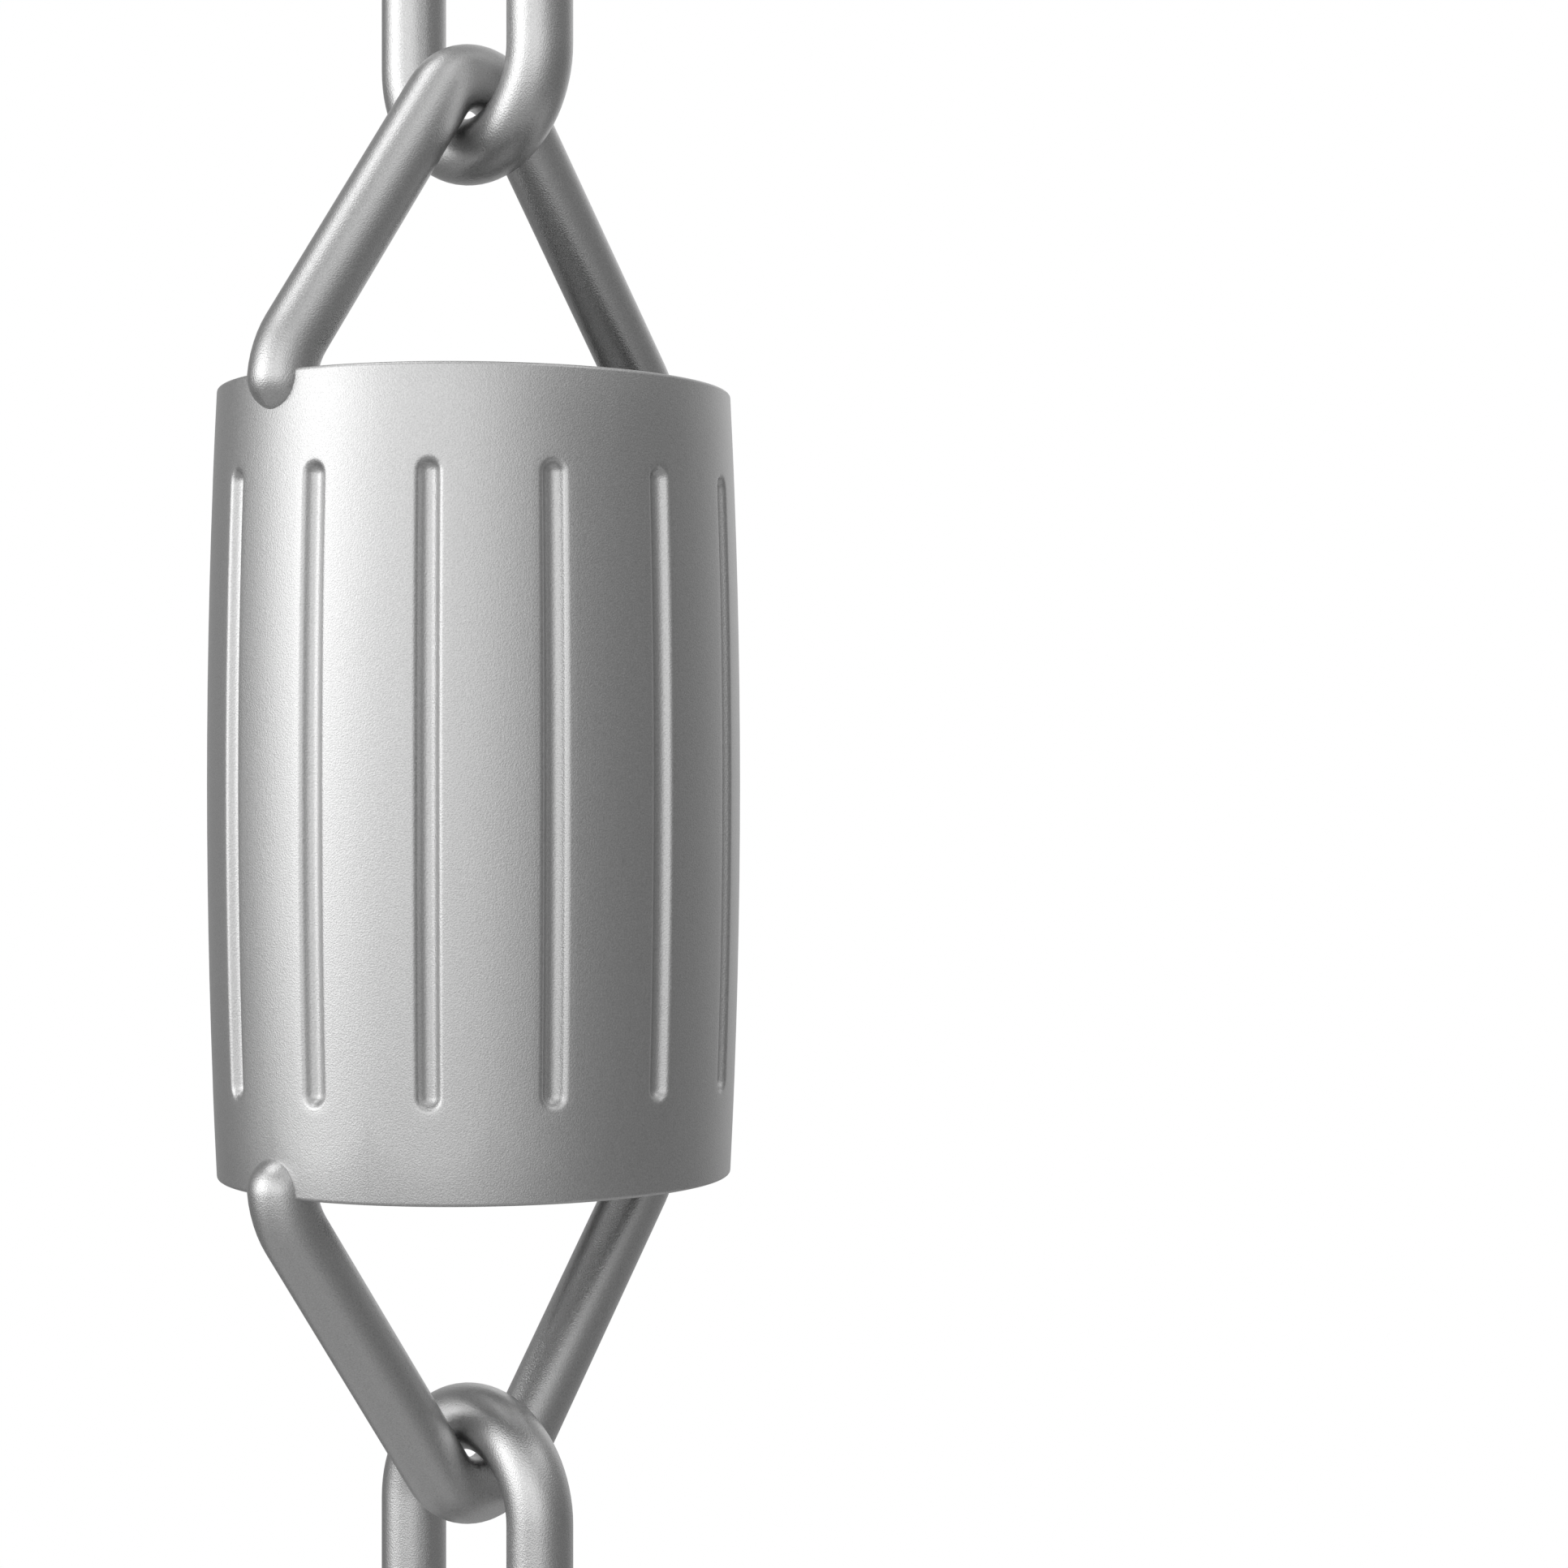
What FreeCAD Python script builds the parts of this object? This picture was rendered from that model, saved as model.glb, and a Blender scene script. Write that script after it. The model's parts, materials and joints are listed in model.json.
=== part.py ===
import FreeCAD, Part
import math
import os

# A rain chain: open fluted cups hang one below the other on closed links of round bar.
# Lengths are in millimetres and angles in degrees, with +Z up. The origin is the hanging point, on the
# inner crest of the top link's eye. Bails lie in the XZ plane and links in the YZ plane.

# The whole chain
CUP_COUNT = 5
SWING_CLEARANCE = 0.3

# Cup: a cast tube, open at both ends and swelling gently towards its middle. Its side profile is a curve
# through points at even heights.
CUP_HEIGHT = 107.0
CUP_RIM_RADIUS = 35.0
CUP_SWELL = 1.35
CUP_WALL = 3.0
RIM_ROUNDING = 0.5
BARREL_STEPS = 2

# Flutes: round-bottomed grooves down the outside, with a pair of them centred on each bail foot
FLUTE_COUNT = 14
FLUTE_LENGTH = 82.0
FLUTE_DEPTH = 1.4
FLUTE_TOOL_RADIUS = 1.4
FLUTE_RUNS = 4

# Round bar, the stock of every bail and link
BAR_DIAMETER = 9.0

# Bail: a bar bent over a tight crown, its rounded feet straddling the cup's rim
BAIL_RISE = 48.0
CROWN_INNER_RADIUS = 3.8
FOOT_BEND_RADIUS = 13.2
FOOT_LEAN = 6.0
FOOT_SINK = 0.9

# Link: a closed oval
LINK_INNER_LENGTH = 77.0
LINK_INNER_WIDTH = 16.8

# How a pipe shell turns the corners of its path
MITRED = 1

BAR_RADIUS = BAR_DIAMETER / 2
RIM_HEIGHT = CUP_HEIGHT / 2
CROWN_RADIUS = CROWN_INNER_RADIUS + BAR_RADIUS
CROWN_CENTRE_HEIGHT = RIM_HEIGHT + BAIL_RISE - BAR_RADIUS - CROWN_RADIUS
LINK_BEND_RADIUS = LINK_INNER_WIDTH / 2 + BAR_RADIUS
LINK_BEND_OFFSET = (LINK_INNER_LENGTH - LINK_INNER_WIDTH) / 2


def in_bail_plane(across, height):
    return FreeCAD.Vector(across, 0, height)


def in_link_plane(across, height):
    return FreeCAD.Vector(0, across, height)


def arc(plane, centre, radius, start, end):
    """An arc about centre, in the plane of the bails or the links, from one angle to another."""
    points = []
    for angle in (start, (start + end) / 2, end):
        turn = math.radians(angle)
        points.append(plane(centre[0] + radius * math.cos(turn), centre[1] + radius * math.sin(turn)))
    return Part.Arc(*points).toShape()


def joined(edges):
    """The edges in order, with a straight run closing each gap between one and the next."""
    path = [edges[0]]
    for edge in edges[1:]:
        path.append(Part.LineSegment(path[-1].lastVertex(True).Point, edge.firstVertex(True).Point).toShape())
        path.append(edge)
    return path


def bar_along(edges):
    """Round bar bent along a smooth run of edges."""
    first = edges[0]
    start = first.firstVertex(True).Point
    section = Part.Wire(Part.makeCircle(BAR_RADIUS, start, first.tangentAt(first.FirstParameter)))
    return Part.Wire(edges).makePipe(Part.Face(section))


def barrel_radius(height):
    """The cup's outer radius at a height above or below its middle."""
    profile_radius = (RIM_HEIGHT**2 + CUP_SWELL**2) / (2 * CUP_SWELL)
    return CUP_RIM_RADIUS + CUP_SWELL - profile_radius + math.sqrt(profile_radius**2 - height**2)


def barrel_line(reach, inset):
    """The cup's side profile up and down to a reach, set in from its outside."""
    heights = [reach * step / BARREL_STEPS for step in range(-BARREL_STEPS, BARREL_STEPS + 1)]
    line = Part.BSplineCurve()
    line.interpolate([in_bail_plane(barrel_radius(height) - inset, height) for height in heights])
    return line.toShape()


def cup_shell():
    """The cup before its flutes are cut."""
    reach = RIM_HEIGHT - RIM_ROUNDING
    outer = barrel_radius(reach) - RIM_ROUNDING
    inner = barrel_radius(reach) - CUP_WALL + RIM_ROUNDING
    edges = [barrel_line(reach, 0), barrel_line(reach, CUP_WALL)]
    for side in (-1, 1):
        edges.append(arc(in_bail_plane, (outer, side * reach), RIM_ROUNDING, 0, side * 90))
        edges.append(arc(in_bail_plane, (inner, side * reach), RIM_ROUNDING, side * 90, side * 180))
        rim = (in_bail_plane(inner, side * RIM_HEIGHT), in_bail_plane(outer, side * RIM_HEIGHT))
        edges.append(Part.LineSegment(*rim).toShape())
    profile = Part.Face(Part.Wire(Part.__sortEdges__(edges)))
    return profile.revolve(FreeCAD.Vector(), FreeCAD.Vector(0, 0, 1))


def flute_cutter():
    """The path of a ball-nosed tool down one flute, at zero azimuth, in straight runs."""
    reach = FLUTE_LENGTH / 2 - FLUTE_TOOL_RADIUS
    points = []
    for step in range(FLUTE_RUNS + 1):
        height = reach * (2 * step / FLUTE_RUNS - 1)
        points.append(in_bail_plane(barrel_radius(height) - FLUTE_DEPTH + FLUTE_TOOL_RADIUS, height))
    groove = Part.BRepOffsetAPI.MakePipeShell(Part.makePolygon(points))
    groove.setTransitionMode(MITRED)
    groove.add(Part.Wire(Part.makeCircle(FLUTE_TOOL_RADIUS, points[0], points[1] - points[0])))
    groove.build()
    groove.makeSolid()
    return groove.shape().fuse([Part.makeSphere(FLUTE_TOOL_RADIUS, end) for end in (points[0], points[-1])])


def cup(shell):
    cutter = flute_cutter()
    pitch = 360 / FLUTE_COUNT
    flutes = []
    for index in range(FLUTE_COUNT):
        flute = cutter.copy()
        flute.rotate(FreeCAD.Vector(), FreeCAD.Vector(0, 0, 1), (index + 0.5) * pitch)
        flutes.append(flute)
    return shell.cut(flutes)


def foot_centre():
    """The middle of a foot's rounded tip: across, at mid-wall, and up, a little below the rim."""
    return CUP_RIM_RADIUS - CUP_WALL / 2, RIM_HEIGHT - FOOT_SINK


def foot_bend_centre():
    across, height = foot_centre()
    lean = math.radians(FOOT_LEAN)
    return across - FOOT_BEND_RADIUS * math.cos(lean), height - FOOT_BEND_RADIUS * math.sin(lean)


def leg_slope():
    """How far a leg leans from vertical: it touches the crown's and the foot's bends on their outside."""
    across, height = foot_bend_centre()
    run = -across
    rise = CROWN_CENTRE_HEIGHT - height
    swing = math.acos((FOOT_BEND_RADIUS - CROWN_RADIUS) / math.hypot(run, rise))
    return math.degrees(math.atan2(rise, run) - swing)


def bail(shell):
    """The upper bail, its feet slotted over the rim of a cup whose middle is at the origin."""
    slope = leg_slope()
    across, height = foot_bend_centre()
    right_foot = arc(in_bail_plane, (across, height), FOOT_BEND_RADIUS, FOOT_LEAN, slope)
    crown = arc(in_bail_plane, (0, CROWN_CENTRE_HEIGHT), CROWN_RADIUS, slope, 180 - slope)
    left_foot = arc(in_bail_plane, (-across, height), FOOT_BEND_RADIUS, 180 - slope, 180 - FOOT_LEAN)
    bar = bar_along(joined([right_foot, crown, left_foot]))
    tip_across, tip_height = foot_centre()
    lean = math.radians(FOOT_LEAN)
    tips = []
    for side in (-1, 1):
        outward = in_bail_plane(side * math.sin(lean), -math.cos(lean))
        centre = in_bail_plane(side * tip_across, tip_height)
        tips.append(Part.makeSphere(BAR_RADIUS, centre, outward, 0, 90, 360))
    return bar.fuse(tips).removeSplitter().cut(shell)


def link():
    """A link whose middle is at the origin."""
    top = arc(in_link_plane, (0, LINK_BEND_OFFSET), LINK_BEND_RADIUS, 0, 180)
    bottom = arc(in_link_plane, (0, -LINK_BEND_OFFSET), LINK_BEND_RADIUS, 180, 360)
    path = joined([top, bottom])
    path.append(Part.LineSegment(path[-1].lastVertex(True).Point, top.firstVertex(True).Point).toShape())
    return bar_along(path)


def seat_height():
    """How high above the cup's middle the link's bar rests in the bail.

    A bar too thick for the crown's bend rests between the legs, and a thinner one under the crown.
    """
    apart = BAR_DIAMETER + SWING_CLEARANCE
    shortfall = apart - CROWN_RADIUS
    if shortfall > 0:
        return CROWN_CENTRE_HEIGHT - shortfall / math.sin(math.radians(leg_slope()))
    return CROWN_CENTRE_HEIGHT - shortfall


def save(shape, name, height):
    placed = shape.copy()
    placed.translate(FreeCAD.Vector(0, 0, height))
    placed.exportStep(os.path.join("parts", name + ".step"))


def main():
    os.makedirs("parts", exist_ok=True)
    shell = cup_shell()
    cup_shape = cup(shell)
    upper_bail = bail(shell)
    lower_bail = upper_bail.copy()
    lower_bail.rotate(FreeCAD.Vector(), FreeCAD.Vector(1, 0, 0), 180)
    link_shape = link()
    link_reach = LINK_BEND_OFFSET + LINK_BEND_RADIUS
    link_height = BAR_RADIUS - link_reach
    for number in range(1, CUP_COUNT + 1):
        cup_height = link_height - link_reach - seat_height()
        save(link_shape, f"link_{number}", link_height)
        save(upper_bail, f"upper_bail_{number}", cup_height)
        save(cup_shape, f"cup_{number}", cup_height)
        save(lower_bail, f"lower_bail_{number}", cup_height)
        link_height = cup_height - seat_height() - link_reach


main()
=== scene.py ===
import json
import math

import bmesh
import bpy
from mathutils import Matrix, Vector


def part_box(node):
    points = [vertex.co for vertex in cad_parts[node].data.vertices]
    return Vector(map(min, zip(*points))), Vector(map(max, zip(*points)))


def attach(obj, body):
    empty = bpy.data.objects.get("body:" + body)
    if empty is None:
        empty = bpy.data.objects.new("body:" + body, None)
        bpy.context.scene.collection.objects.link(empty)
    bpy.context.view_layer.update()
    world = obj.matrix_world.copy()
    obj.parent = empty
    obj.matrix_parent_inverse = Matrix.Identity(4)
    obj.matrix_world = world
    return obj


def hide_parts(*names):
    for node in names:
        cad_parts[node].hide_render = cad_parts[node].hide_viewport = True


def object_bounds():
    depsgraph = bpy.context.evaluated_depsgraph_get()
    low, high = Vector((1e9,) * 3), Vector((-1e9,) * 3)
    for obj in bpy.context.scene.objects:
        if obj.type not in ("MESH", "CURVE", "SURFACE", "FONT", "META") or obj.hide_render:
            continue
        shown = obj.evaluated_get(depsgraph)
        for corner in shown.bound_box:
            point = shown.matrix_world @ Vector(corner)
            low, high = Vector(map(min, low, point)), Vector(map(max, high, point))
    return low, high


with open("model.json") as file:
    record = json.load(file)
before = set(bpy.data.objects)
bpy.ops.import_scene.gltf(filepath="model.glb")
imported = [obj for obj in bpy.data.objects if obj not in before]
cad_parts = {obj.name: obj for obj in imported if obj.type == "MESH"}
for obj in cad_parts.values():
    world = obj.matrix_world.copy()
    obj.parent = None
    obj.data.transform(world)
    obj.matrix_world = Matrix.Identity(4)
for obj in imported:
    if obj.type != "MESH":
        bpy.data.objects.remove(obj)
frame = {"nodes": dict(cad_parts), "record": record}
cad_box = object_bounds()

bl_info = {
    "name": "Rain chain",
    "version": (1, 0, 0),
    "blender": (4, 5, 0),
    "location": "3D View > Sidebar > Rain chain",
    "description": "Models a rain chain of fluted cups, pointed bails and oval links",
    "category": "Add Mesh",
}

MM = 0.001

# Points nearer to each other than this are merged into one
MERGE = 0.001 * MM
# How far a point may stand off the edge that it is selected with
SLACK = 0.01 * MM
# Half the width of the slit left down the middle of a flute, which closes as the flute is finished
FLUTE_SLIT = 0.01 * MM

# The studio's lights: heading, clockwise from +Y, height and spread in degrees, then strength
KEY_LIGHT = (295.5, 13, 17.7, 2.17)
FRONT_FILL = (235.5, 12, 25, 1.02)
OVERHEAD_LEFT = (311.5, 67, 10.5, 2.15)
OVERHEAD_RIGHT = (163.5, 59, 16.5, 0.88)
SOFTBOXES = (KEY_LIGHT, FRONT_FILL, OVERHEAD_LEFT, OVERHEAD_RIGHT)
# The white backdrop behind the chain, as much of it as the metal shows
BACKDROP_GLOW = (59.5, 20, 24, 0.66)
# Even light from all round
ROOM_LIGHT = 0.2


def node_names(kind):
    """The frame's nodes of one kind, from the top of the chain down."""
    names = [name for name in frame["nodes"] if name.startswith(kind)]
    return sorted(names, key=lambda name: -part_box(name)[1][2])


def number_of(node):
    return node.split("_")[-1]


def body_of(node):
    """The body that the record puts a node in."""
    bodies = frame["record"]["behaviour"]["bodies"]
    return next(body for body, nodes in bodies.items() if node in nodes)


def height_of(name):
    low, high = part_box(name)
    return high[2] - low[2]


def at_middle_of(name):
    """Moves a piece that is modelled about its own middle up or down to a node's middle."""
    low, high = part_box(name)
    return Matrix.Translation((0, 0, (low[2] + high[2]) / 2))


# Sizes and finishes that a user may change


def length(name, description, default):
    return bpy.props.FloatProperty(
        name=name, description=description, default=default, min=0, precision=5, subtype="DISTANCE",
        unit="LENGTH",
    )


def angle(name, description, degrees):
    return bpy.props.FloatProperty(
        name=name, description=description, default=math.radians(degrees), subtype="ANGLE", unit="ROTATION"
    )


def steps(name, description, default):
    return bpy.props.IntProperty(name=name, description=description, default=default, min=2)


def share(name, description, default):
    return bpy.props.FloatProperty(
        name=name, description=description, default=default, min=0, max=1, subtype="FACTOR"
    )


class CupSizes(bpy.types.PropertyGroup):
    height: length("Height", "From rim to rim", height_of("cup_1"))
    rim_radius: length("Rim radius", "Outer radius at either rim", 35 * MM)
    swell: length("Swell", "How much wider the cup is at its middle, in radius", 1.35 * MM)
    wall: length("Wall", "Thickness of the wall", 3 * MM)
    rim_rounding: length("Rim rounding", "Radius of the rim's edges", 0.5 * MM)
    flutes: steps("Flutes", "How many flutes go round the cup", 14)
    flute_reach: length("Flute reach", "From the cup's middle to the centre of a flute's end", 39.6 * MM)
    flute_radius: length("Flute radius", "Radius of a flute's hollow", 1.5 * MM)
    flute_softness: length("Flute softness", "Radius of the soft edge of a flute", 1 * MM)
    flute_steepness: angle("Flute steepness", "How steep a flute is where its hollow meets its soft edge", 60)
    land_steps: steps("Land steps", "Rings of faces between a flute and the middle of its land", 6)
    edge_steps: steps("Edge steps", "Rings of faces over a flute's soft edge", 5)
    hollow_steps: steps("Hollow steps", "Rings of faces down a flute's hollow", 6)
    end_steps: steps("End steps", "Faces round a flute's end", 24)
    side_steps: steps("Side steps", "Faces along a flute's side", 12)
    rim_steps: steps("Rim steps", "Faces over each edge of the rim", 4)
    wall_steps: steps("Wall steps", "Faces down the inner wall", 12)


class BarSizes(bpy.types.PropertyGroup):
    radius: length("Bar radius", "Radius of the round bar", 4.5 * MM)
    sides: steps("Sides", "Faces round the bar", 48)
    bend_steps: steps("Bend steps", "Faces along a quarter of a bend", 20)
    tip_steps: steps("Tip steps", "Faces from a foot's bar to the end of its round tip", 10)
    crown_radius: length("Crown radius", "Radius of the bail's crown, at the bar's centre", 8.3 * MM)
    crown_height: length("Crown height", "From the cup's middle to the centre of the crown's bend", 88.7 * MM)
    foot_radius: length("Foot radius", "Radius of the bend over a foot, at the bar's centre", 13.2 * MM)
    foot_lean: angle("Foot lean", "How far a foot still leans outwards at its tip", 6)
    foot_across: length("Foot across", "From the cup's axis to the centre of a foot's tip", 33.5 * MM)
    foot_height: length("Foot height", "From the cup's middle to the centre of a foot's tip", 52.6 * MM)
    link_bend: length("Link bend", "Radius of a link's ends, at the bar's centre", 12.9 * MM)
    link_reach: length("Link reach", "From a link's middle to the centre of either bend", 30.1 * MM)


class Finish(bpy.types.PropertyGroup):
    colour: bpy.props.FloatVectorProperty(
        name="Colour", description="Colour of the blasted metal", default=(0.62, 0.62, 0.62), size=3,
        min=0, max=1, subtype="COLOR",
    )
    cup_roughness: share("Cup roughness", "How widely the cups spread a highlight", 0.37)
    bar_roughness: share("Bar roughness", "How widely the bails and links spread a highlight", 0.3)
    grain: length("Grain", "Size of the blasted grain", 0.2 * MM)
    grain_contrast: share("Grain contrast", "How much lighter the grain's tops are than its hollows", 0.5)
    grain_dullness: share("Grain dullness", "How much rougher the grain's tops are than its hollows", 0.1)
    cup_grain_depth: length("Cup grain depth", "Depth of the grain on the cups", 0.035 * MM)
    bar_grain_depth: length("Bar grain depth", "Depth of the grain on the bails and links", 0.042 * MM)


class Stage(bpy.types.PropertyGroup):
    floor_drop: length("Floor drop", "From the chain's foot down to the floor", 60 * MM)
    floor_size: length("Floor size", "Side of the square floor", 3.2)
    floor_shade: share("Floor shade", "How pale the floor is under its white", 0.5)
    floor_whiteness: share("Floor whiteness", "How much of the floor by the chain's foot is plain white", 0.7)
    floor_shine: share("Floor shine", "How much of that white the metal shows", 0.1)
    distance: length("Camera distance", "From the camera to the chain's axis, along its view", 429.3 * MM)
    aside: length("Camera aside", "How far to the right of the chain the camera looks past it", 42.4 * MM)
    heading: angle("Heading", "Direction of view, clockwise from +Y", 47.47)
    lens: bpy.props.FloatProperty(
        name="Lens", description="Focal length on a 36 mm sensor", default=71.68, min=1,
        subtype="DISTANCE_CAMERA",
    )


class RainChain(bpy.types.PropertyGroup):
    cup: bpy.props.PointerProperty(type=CupSizes)
    bar: bpy.props.PointerProperty(type=BarSizes)
    finish: bpy.props.PointerProperty(type=Finish)
    stage: bpy.props.PointerProperty(type=Stage)


# Modelling by hand


def start_edit():
    """An empty mesh object in edit mode."""
    bpy.ops.object.select_all(action="DESELECT")
    bpy.ops.object.add(type="MESH")
    bpy.ops.object.mode_set(mode="EDIT")
    bpy.ops.mesh.select_mode(type="VERT")


def select_where(test):
    """Selects the edges whose two ends pass the test."""
    mesh = bmesh.from_edit_mesh(bpy.context.object.data)
    bpy.ops.mesh.select_all(action="DESELECT")
    for edge in mesh.edges:
        if all(test(vertex.co) for vertex in edge.verts):
            edge.select = True
    mesh.select_flush_mode()
    bmesh.update_edit_mesh(bpy.context.object.data)


def extrude_by(offset, scale=(1, 1, 1), centre=(0, 0, 0)):
    """Extrudes the selected edges, then scales the new ones about a centre."""
    bpy.ops.mesh.extrude_edges_move(TRANSFORM_OT_translate={"value": offset})
    if scale != (1, 1, 1):
        bpy.ops.transform.resize(value=scale, center_override=centre)


def finish_edit(name, merge=MERGE):
    """Closes the mesh, turns its faces outwards and shades it smooth."""
    bpy.ops.mesh.select_all(action="SELECT")
    bpy.ops.mesh.remove_doubles(threshold=merge)
    bpy.ops.mesh.normals_make_consistent(inside=False)
    bpy.ops.object.mode_set(mode="OBJECT")
    bpy.ops.object.shade_smooth()
    piece = bpy.context.object
    piece.name = name
    piece.data.name = name
    return piece


def apply_modifier(piece, kind, **settings):
    modifier = piece.modifiers.new(kind.title(), kind)
    for key, value in settings.items():
        setattr(modifier, key, value)
    bpy.ops.object.modifier_apply(modifier=modifier.name)


def place_copies(pattern, placings, material):
    """Gives each node its own copy of a piece, with its place in its mesh, and drops the pattern."""
    for node, name, matrix in placings:
        piece = pattern.copy()
        piece.data = pattern.data.copy()
        piece.name = name
        piece.data.name = name
        piece.data.transform(matrix)
        piece.data.materials.append(material)
        bpy.context.collection.objects.link(piece)
        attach(piece, body_of(node))
        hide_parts(node)
    bpy.data.objects.remove(pattern)


# The fluted cup


def barrel_radius(sizes, height):
    """The cup's outer radius at a height above or below its middle."""
    half = sizes.height / 2
    profile = (half**2 + sizes.swell**2) / (2 * sizes.swell)
    return sizes.rim_radius + sizes.swell - profile + math.sqrt(profile**2 - height**2)


def flute_section(sizes, half_width):
    """Half of a flute's cross-section, as points (across, depth) from the middle of the land inwards."""
    hollow = sizes.flute_radius
    soft = sizes.flute_softness
    steepest = sizes.flute_steepness
    edge_across = (hollow + soft) * math.sin(steepest)
    bottom = -(hollow + soft) * (1 - math.cos(steepest))
    points = []
    for step in range(sizes.land_steps):
        points.append((half_width + (edge_across - half_width) * step / sizes.land_steps, 0.0))
    for step in range(sizes.edge_steps):
        slope = steepest * step / sizes.edge_steps
        points.append((edge_across - soft * math.sin(slope), -soft * (1 - math.cos(slope))))
    for step in range(sizes.hollow_steps):
        slope = steepest * (1 - step / sizes.hollow_steps)
        points.append((hollow * math.sin(slope), bottom + hollow * (1 - math.cos(slope))))
    points.append((FLUTE_SLIT, bottom))
    return points


def model_flute_panel(sizes, half_width):
    """One flute and its land, laid flat: X across, Y up the cup and Z out of it."""
    reach = sizes.flute_reach
    start_edit()
    bpy.ops.mesh.primitive_grid_add(x_subdivisions=1, y_subdivisions=sizes.side_steps, size=2)
    bpy.ops.transform.resize(value=(half_width, reach, 1), center_override=(0, 0, 0))
    for side in (-1, 1):
        bpy.ops.mesh.primitive_circle_add(
            vertices=2 * sizes.end_steps, radius=half_width, fill_type="NGON", location=(0, side * reach, 0)
        )
        bpy.ops.mesh.bisect(plane_co=(0, side * reach, 0), plane_no=(0, side, 0), clear_inner=True)
    bpy.ops.mesh.select_all(action="SELECT")
    bpy.ops.mesh.remove_doubles(threshold=MERGE)
    bpy.ops.mesh.dissolve_faces()
    section = flute_section(sizes, half_width)
    for outer, inner in zip(section, section[1:]):
        bpy.ops.mesh.inset(thickness=outer[0] - inner[0], depth=inner[1] - outer[1])
    bpy.ops.mesh.delete(type="ONLY_FACE")
    rim = sizes.height / 2 - sizes.rim_rounding
    for side in (-1, 1):
        select_where(lambda place: side * place.y > reach - SLACK
                     and math.hypot(place.x, place.y - side * reach) > half_width - SLACK)
        extrude_by((0, side * half_width, 0))
        bpy.ops.transform.resize(value=(1, 0, 1), center_override=(0, side * rim, 0))
    return finish_edit("flute_panel", merge=3 * FLUTE_SLIT)


def wrap_round(mesh, sizes, panel_width):
    """Rolls the row of panels into the cup's barrel, the first one half a panel past +X."""
    for vertex in mesh.vertices:
        across, height, depth = vertex.co
        turn = (across / panel_width + 0.5) * 2 * math.pi / sizes.flutes
        radius = barrel_radius(sizes, height) + depth
        vertex.co = (radius * math.cos(turn), radius * math.sin(turn), height)


def rim_and_wall(sizes):
    """The rings, as (radius, height), from the outside of the upper rim in, down the wall and out again."""
    reach = sizes.height / 2 - sizes.rim_rounding
    outer = barrel_radius(sizes, reach) - sizes.rim_rounding
    inner = barrel_radius(sizes, reach) - sizes.wall + sizes.rim_rounding
    over = []
    for centre, start in ((outer, 0), (inner, math.pi / 2)):
        for step in range(sizes.rim_steps + 1):
            turn = start + math.pi / 2 * step / sizes.rim_steps
            radius = centre + sizes.rim_rounding * math.cos(turn)
            over.append((radius, reach + sizes.rim_rounding * math.sin(turn)))
    down = []
    for step in range(1, sizes.wall_steps):
        height = reach * (1 - 2 * step / sizes.wall_steps)
        down.append((barrel_radius(sizes, height) - sizes.wall, height))
    under = [(radius, -height) for radius, height in reversed(over)]
    return over + down + under


def model_cup(sizes):
    panel_width = 2 * math.pi * barrel_radius(sizes, 0) / sizes.flutes
    cup = model_flute_panel(sizes, panel_width / 2)
    apply_modifier(
        cup, "ARRAY", count=sizes.flutes, use_relative_offset=False, use_constant_offset=True,
        constant_offset_displace=(panel_width, 0, 0), use_merge_vertices=True, merge_threshold=MERGE,
    )
    wrap_round(cup.data, sizes, panel_width)
    bpy.ops.object.mode_set(mode="EDIT")
    bpy.ops.mesh.select_all(action="SELECT")
    bpy.ops.mesh.remove_doubles(threshold=MERGE)
    rim = sizes.height / 2 - sizes.rim_rounding
    select_where(lambda place: place.z > rim - SLACK)
    rings = rim_and_wall(sizes)
    for before, after in zip(rings, rings[1:]):
        ratio = after[0] / before[0]
        extrude_by((0, 0, after[1] - before[1]), (ratio, ratio, 1))
    return finish_edit("fluted_cup")


# Round bar: bails and links


def spin_bar(sizes, turn, centre, axis):
    """Bends the bar on by an angle. The operator turns against the right-hand rule."""
    count = max(2, round(sizes.bend_steps * turn / (math.pi / 2)))
    bpy.ops.mesh.spin(steps=count, angle=-turn, center=centre, axis=axis)


def leg_slope(sizes, bend_across, bend_height):
    """How far a leg leans from vertical: it touches the crown's and the foot's bends on their outside."""
    rise = sizes.crown_height - bend_height
    swing = math.acos((sizes.foot_radius - sizes.crown_radius) / math.hypot(bend_across, rise))
    return math.atan2(rise, -bend_across) - swing


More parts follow.
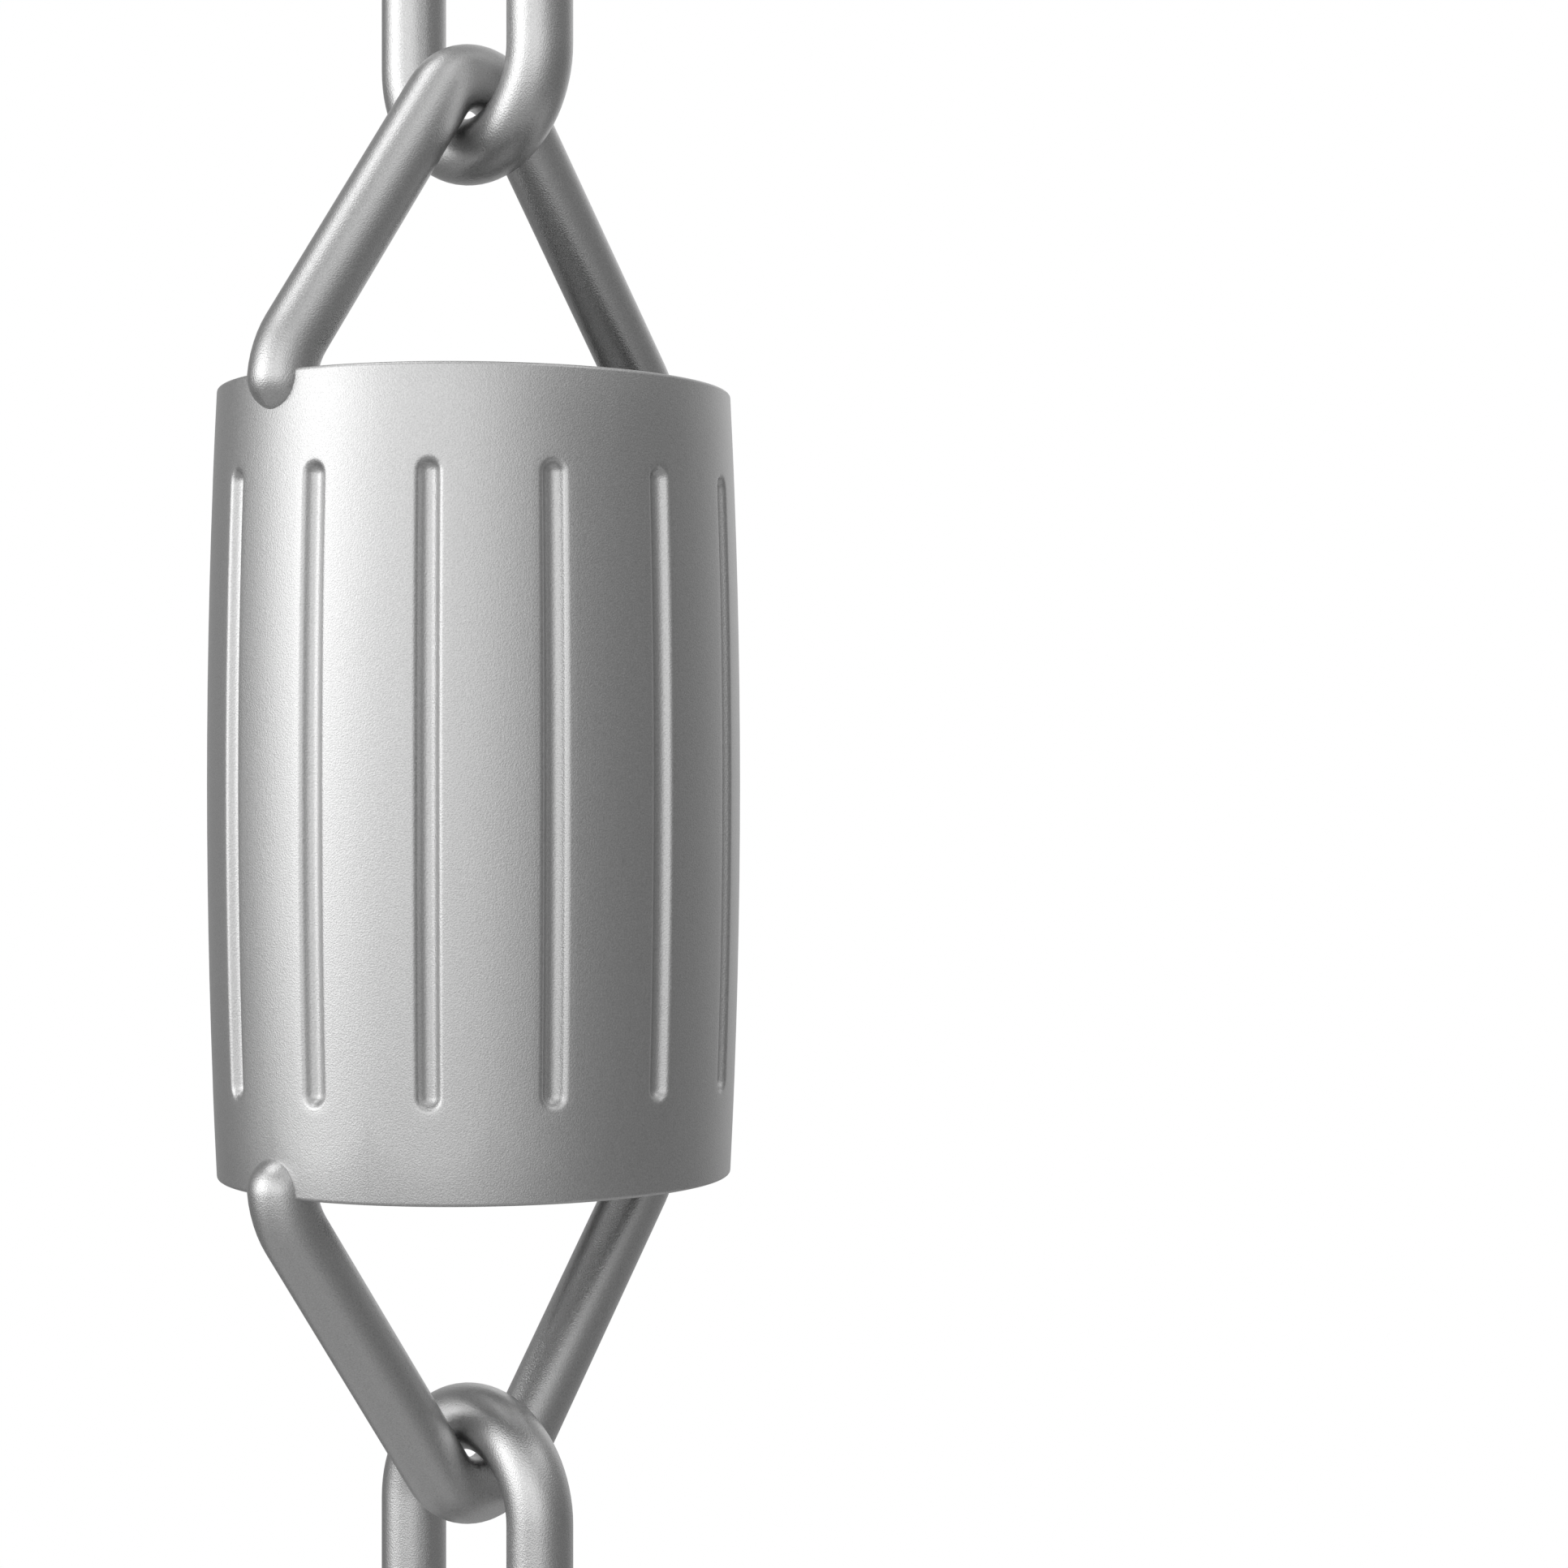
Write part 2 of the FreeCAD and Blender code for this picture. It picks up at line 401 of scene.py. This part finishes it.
def model_bail(sizes):
    """An upper bail about the middle of its cup: half of it is bent from the crown down, then mirrored."""
    lean = sizes.foot_lean
    bend_across = sizes.foot_across - sizes.foot_radius * math.cos(lean)
    bend_height = sizes.foot_height - sizes.foot_radius * math.sin(lean)
    slope = leg_slope(sizes, bend_across, bend_height)
    along_y = (0, 1, 0)
    start_edit()
    bpy.ops.mesh.primitive_circle_add(
        vertices=sizes.sides, radius=sizes.radius, rotation=(0, math.pi / 2, 0),
        location=(0, 0, sizes.crown_height + sizes.crown_radius),
    )
    spin_bar(sizes, math.pi / 2 - slope, (0, 0, sizes.crown_height), along_y)
    outward = (math.cos(slope), math.sin(slope))
    leg = (
        bend_across + (sizes.foot_radius - sizes.crown_radius) * outward[0],
        0,
        bend_height - sizes.crown_height + (sizes.foot_radius - sizes.crown_radius) * outward[1],
    )
    extrude_by(leg)
    spin_bar(sizes, slope - lean, (bend_across, 0, bend_height), along_y)
    tip = Vector((sizes.foot_across, 0, sizes.foot_height))
    down = Vector((math.sin(lean), 0, -math.cos(lean)))
    for step in range(sizes.tip_steps):
        near = math.pi / 2 * step / sizes.tip_steps
        far = math.pi / 2 * (step + 1) / sizes.tip_steps
        forward = sizes.radius * (math.sin(far) - math.sin(near))
        ratio = math.cos(far) / math.cos(near)
        extrude_by(down * forward, (ratio,) * 3, tip + down * sizes.radius * math.sin(far))
    bail = finish_edit("pointed_bail")
    apply_modifier(
        bail, "MIRROR", use_axis=(True, False, False), use_mirror_merge=True, merge_threshold=MERGE
    )
    bpy.ops.object.mode_set(mode="EDIT")
    return finish_edit("pointed_bail")


def model_link(sizes):
    """A closed oval link about its own middle, bent round from the middle of one side."""
    along_x = (1, 0, 0)
    start_edit()
    bpy.ops.mesh.primitive_circle_add(
        vertices=sizes.sides, radius=sizes.radius, location=(0, sizes.link_bend, 0)
    )
    extrude_by((0, 0, sizes.link_reach))
    spin_bar(sizes, math.pi, (0, 0, sizes.link_reach), along_x)
    extrude_by((0, 0, -2 * sizes.link_reach))
    spin_bar(sizes, math.pi, (0, 0, -sizes.link_reach), along_x)
    extrude_by((0, 0, sizes.link_reach))
    return finish_edit("oval_link")


# Shader maths


class Term:
    """A socket in a node tree. Arithmetic on it adds Math nodes."""

    def __init__(self, shader, socket):
        self.shader = shader
        self.socket = socket

    def math(self, operation, *values):
        return self.shader.node("ShaderNodeMath", {"operation": operation}, dict(enumerate(values)))

    def exp(self):
        return self.math("EXPONENT", self)

    def at_most(self, most):
        return self.math("MINIMUM", self, most)

    def __add__(self, other):
        return self.math("ADD", self, other)

    def __mul__(self, other):
        return self.math("MULTIPLY", self, other)

    def __sub__(self, other):
        return self.math("SUBTRACT", self, other)

    def __rsub__(self, other):
        return self.math("SUBTRACT", other, self)

    __radd__ = __add__
    __rmul__ = __mul__


class Shader:
    """A node tree that is built by calls."""

    def __init__(self, owner):
        owner.use_nodes = True
        self.tree = owner.node_tree
        self.tree.nodes.clear()

    def node(self, kind, settings=None, inputs=None, output=0):
        """Adds a node, makes its settings, then sets or links its inputs, and returns one of its outputs."""
        node = self.tree.nodes.new(kind)
        for name, value in (settings or {}).items():
            setattr(node, name, value)
        for name, value in (inputs or {}).items():
            if isinstance(value, Term):
                self.tree.links.new(value.socket, node.inputs[name])
            else:
                node.inputs[name].default_value = value
        return Term(self, node.outputs[output])

    def end(self, kind, **sockets):
        node = self.tree.nodes.new(kind)
        for name, value in sockets.items():
            self.tree.links.new(value.socket, node.inputs[name])


def blasted_metal(name, finish, smooth_roughness, grain_depth):
    """Aluminium with the fine, even grain of bead blasting."""
    material = bpy.data.materials.new(name)
    shader = Shader(material)
    place = shader.node("ShaderNodeTexCoord", output="Object")
    grain = shader.node(
        "ShaderNodeTexNoise",
        inputs={"Vector": place, "Scale": 1 / finish.grain, "Detail": 1.0, "Roughness": 0.5},
    )
    normal = shader.node("ShaderNodeBump", inputs={"Height": grain, "Distance": grain_depth, "Strength": 1.0})
    colour = shader.node(
        "ShaderNodeVectorMath", {"operation": "SCALE"},
        {0: finish.colour, "Scale": 1 + (grain - 0.5) * finish.grain_contrast},
    )
    roughness = smooth_roughness + (grain - 0.5) * finish.grain_dullness
    surface = shader.node(
        "ShaderNodeBsdfPrincipled",
        inputs={"Base Color": colour, "Metallic": 1.0, "Roughness": roughness, "Normal": normal},
    )
    shader.end("ShaderNodeOutputMaterial", Surface=surface)
    return material


def cup_aluminium(finish):
    return blasted_metal("blasted_cup_aluminium", finish, finish.cup_roughness, finish.cup_grain_depth)


def bar_aluminium(finish):
    """The finish that bails and links share, made when it is first asked for."""
    name = "blasted_bar_aluminium"
    made = bpy.data.materials.get(name)
    return made or blasted_metal(name, finish, finish.bar_roughness, finish.bar_grain_depth)


# Operators, one for each kind of piece and one for the stage


class RAINCHAIN_OT_cups(bpy.types.Operator):
    """Model the fluted cup once and put one round each cup of the frame"""

    bl_idname = "rain_chain.cups"
    bl_label = "Fluted cups"

    def execute(self, context):
        pattern = model_cup(context.scene.rain_chain.cup)
        placings = []
        for node in node_names("cup_"):
            placings.append((node, f"fluted_cup_{number_of(node)}", at_middle_of(node)))
        place_copies(pattern, placings, cup_aluminium(context.scene.rain_chain.finish))
        return {"FINISHED"}


class RAINCHAIN_OT_bails(bpy.types.Operator):
    """Bend the pointed bail once and put one over and one under each cup"""

    bl_idname = "rain_chain.bails"
    bl_label = "Pointed bails"

    def execute(self, context):
        pattern = model_bail(context.scene.rain_chain.bar)
        upside_down = Matrix.Rotation(math.pi, 4, "X")
        placings = []
        for cup in node_names("cup_"):
            number = number_of(cup)
            place = at_middle_of(cup)
            placings.append((f"upper_bail_{number}", f"pointed_bail_over_{number}", place))
            placings.append((f"lower_bail_{number}", f"pointed_bail_under_{number}", place @ upside_down))
        place_copies(pattern, placings, bar_aluminium(context.scene.rain_chain.finish))
        return {"FINISHED"}


class RAINCHAIN_OT_links(bpy.types.Operator):
    """Bend the oval link once and put one in each place that the frame has for it"""

    bl_idname = "rain_chain.links"
    bl_label = "Oval links"

    def execute(self, context):
        pattern = model_link(context.scene.rain_chain.bar)
        placings = []
        for node in node_names("link_"):
            placings.append((node, f"oval_link_{number_of(node)}", at_middle_of(node)))
        place_copies(pattern, placings, bar_aluminium(context.scene.rain_chain.finish))
        return {"FINISHED"}


class RAINCHAIN_OT_stage(bpy.types.Operator):
    """Add the pale floor, the studio light and the camera"""

    bl_idname = "rain_chain.stage"
    bl_label = "Stage"

    def execute(self, context):
        stage = context.scene.rain_chain.stage
        add_floor(stage)
        light_world(context.scene)
        add_camera(context.scene, stage)
        context.scene.view_settings.view_transform = "Standard"
        return {"FINISHED"}


def add_floor(stage):
    bpy.ops.object.select_all(action="DESELECT")
    bpy.ops.mesh.primitive_plane_add(size=stage.floor_size, location=(0, 0, cad_box[0][2] - stage.floor_drop))
    floor = bpy.context.object
    floor.name = "floor"
    floor.data.materials.append(pale_floor(stage))


def pale_floor(stage):
    """A pale floor that keeps the chain's shadow and fades to white towards its edge."""
    material = bpy.data.materials.new("pale_floor")
    shader = Shader(material)
    place = shader.node("ShaderNodeTexCoord", output="Object")
    distance = shader.node("ShaderNodeVectorMath", {"operation": "LENGTH"}, {0: place}, output="Value")
    fade = (distance * (2 / stage.floor_size)).at_most(1)
    lit = shader.node("ShaderNodeBsdfDiffuse", inputs={"Color": (stage.floor_shade,) * 3 + (1,)})
    plain = shader.node("ShaderNodeEmission", inputs={"Color": (1, 1, 1, 1), "Strength": 1.0})
    seen = shader.node("ShaderNodeLightPath", output="Is Camera Ray")
    mirrored = shader.node("ShaderNodeLightPath", output="Is Glossy Ray")
    white = (seen + mirrored * stage.floor_shine) * (
        stage.floor_whiteness + fade * fade * (1 - stage.floor_whiteness)
    )
    surface = shader.node("ShaderNodeMixShader", inputs={0: white, 1: lit, 2: plain})
    shader.end("ShaderNodeOutputMaterial", Surface=surface)
    return material


def glow(shader, direction, heading, height, spread, strength):
    """How bright a light is in a direction: brightest at its middle and fading smoothly outwards."""
    heading, height, spread = math.radians(heading), math.radians(height), math.radians(spread)
    middle = (math.cos(height) * math.sin(heading), math.cos(height) * math.cos(heading), math.sin(height))
    facing = shader.node(
        "ShaderNodeVectorMath", {"operation": "DOT_PRODUCT"}, {0: direction, 1: middle}, output="Value"
    )
    return ((facing - 1) * (1 / spread**2)).exp() * strength


def light_world(scene):
    """Soft studio light all round, brightest in each softbox, and plain white where the camera sees it.

    The metal shows the white backdrop too, as a glow behind the chain.
    """
    world = bpy.data.worlds.new("studio")
    scene.world = world
    shader = Shader(world)
    direction = shader.node("ShaderNodeTexCoord", output="Generated")
    studio = ROOM_LIGHT
    for softbox in SOFTBOXES:
        studio = studio + glow(shader, direction, *softbox)
    seen = shader.node("ShaderNodeLightPath", output="Is Camera Ray")
    mirrored = shader.node("ShaderNodeLightPath", output="Is Glossy Ray")
    strength = studio * (1 - seen) + seen + mirrored * glow(shader, direction, *BACKDROP_GLOW)
    light = shader.node("ShaderNodeBackground", inputs={"Color": (1, 1, 1, 1), "Strength": strength})
    shader.end("ShaderNodeOutputWorld", Surface=light)


def add_camera(scene, stage):
    """Puts the camera level with the first cup's middle, where the photograph was taken from."""
    ahead = Vector((math.sin(stage.heading), math.cos(stage.heading), 0))
    right = Vector((ahead.y, -ahead.x, 0))
    cup = at_middle_of("cup_1").to_translation()
    camera = bpy.data.objects.new("camera", bpy.data.cameras.new("camera"))
    scene.collection.objects.link(camera)
    camera.location = cup - ahead * stage.distance + right * stage.aside
    camera.rotation_euler = (math.pi / 2, 0, -stage.heading)
    camera.data.lens = stage.lens
    camera.data.sensor_width = 36
    camera.data.clip_start = 0.01
    scene.camera = camera


class RAINCHAIN_PT_panel(bpy.types.Panel):
    """Lists the chain's pieces, sizes and finish"""

    bl_idname = "RAINCHAIN_PT_panel"
    bl_label = "Rain chain"
    bl_space_type = "VIEW_3D"
    bl_region_type = "UI"
    bl_category = "Rain chain"

    def draw(self, context):
        chain = context.scene.rain_chain
        for operator in OPERATORS:
            self.layout.operator(operator.bl_idname)
        for title in ("cup", "bar", "finish", "stage"):
            group = getattr(chain, title)
            box = self.layout.box()
            box.label(text=title.capitalize())
            for name in group.__annotations__:
                box.prop(group, name)


OPERATORS = (RAINCHAIN_OT_cups, RAINCHAIN_OT_bails, RAINCHAIN_OT_links, RAINCHAIN_OT_stage)
CLASSES = (CupSizes, BarSizes, Finish, Stage, RainChain, *OPERATORS, RAINCHAIN_PT_panel)


def register():
    for item in CLASSES:
        bpy.utils.register_class(item)
    bpy.types.Scene.rain_chain = bpy.props.PointerProperty(type=RainChain)


def unregister():
    del bpy.types.Scene.rain_chain
    for item in reversed(CLASSES):
        bpy.utils.unregister_class(item)


def main():
    register()
    bpy.ops.rain_chain.cups()
    bpy.ops.rain_chain.bails()
    bpy.ops.rain_chain.links()
    bpy.ops.rain_chain.stage()


if __name__ == "__main__":
    main()
